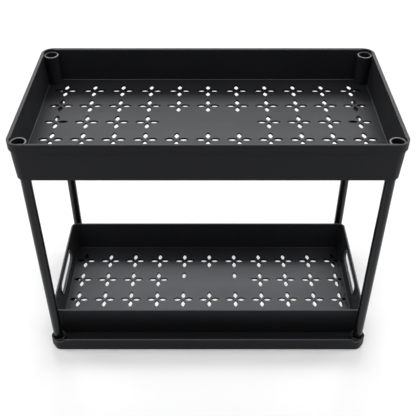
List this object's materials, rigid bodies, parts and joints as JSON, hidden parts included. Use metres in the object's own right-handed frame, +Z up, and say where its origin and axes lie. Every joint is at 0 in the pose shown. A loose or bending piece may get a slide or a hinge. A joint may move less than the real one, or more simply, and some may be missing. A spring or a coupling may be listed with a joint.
{
  "type": "two-tier storage rack",
  "caption": "Free-standing black rack with a perforated top tray on round posts over a low base frame, and a perforated drawer that slides out of either end.",
  "frame": {"origin": "the middle of the rack's footprint, on the plane it stands on", "axes": "+X along the length and the drawer's travel, +Y to the back, +Z up"},
  "size_m": [0.4, 0.2116, 0.3095],
  "materials": {
    "tray_plastic": "black moulded plastic with a satin sheen",
    "frame_plastic": "black moulded plastic with a satin sheen",
    "drawer_plastic": "black moulded plastic with a satin sheen",
    "post_paint": "satin black paint on steel tube",
    "plug_plastic": "plain black plastic",
    "foot_rubber": "plain black rubber"
  },
  "bodies": {
    "rack": {"top_tray": "tray_plastic", "base_frame": "frame_plastic", "post_front_left": "post_paint", "post_front_right": "post_paint", "post_back_left": "post_paint", "post_back_right": "post_paint", "plug_front_left_low": "plug_plastic", "plug_front_left_high": "plug_plastic", "plug_front_right_low": "plug_plastic", "plug_front_right_high": "plug_plastic", "plug_back_left_low": "plug_plastic", "plug_back_left_high": "plug_plastic", "plug_back_right_low": "plug_plastic", "plug_back_right_high": "plug_plastic", "foot_front_left": "foot_rubber", "foot_front_right": "foot_rubber", "foot_back_left": "foot_rubber", "foot_back_right": "foot_rubber"},
    "drawer": {"drawer": "drawer_plastic"}
  },
  "joints": [
    {"name": "drawer_slide", "type": "slide", "parent": "rack", "child": "drawer", "axis": [1, 0, 0], "range_m": [-0.18, 0.18]}
  ]
}
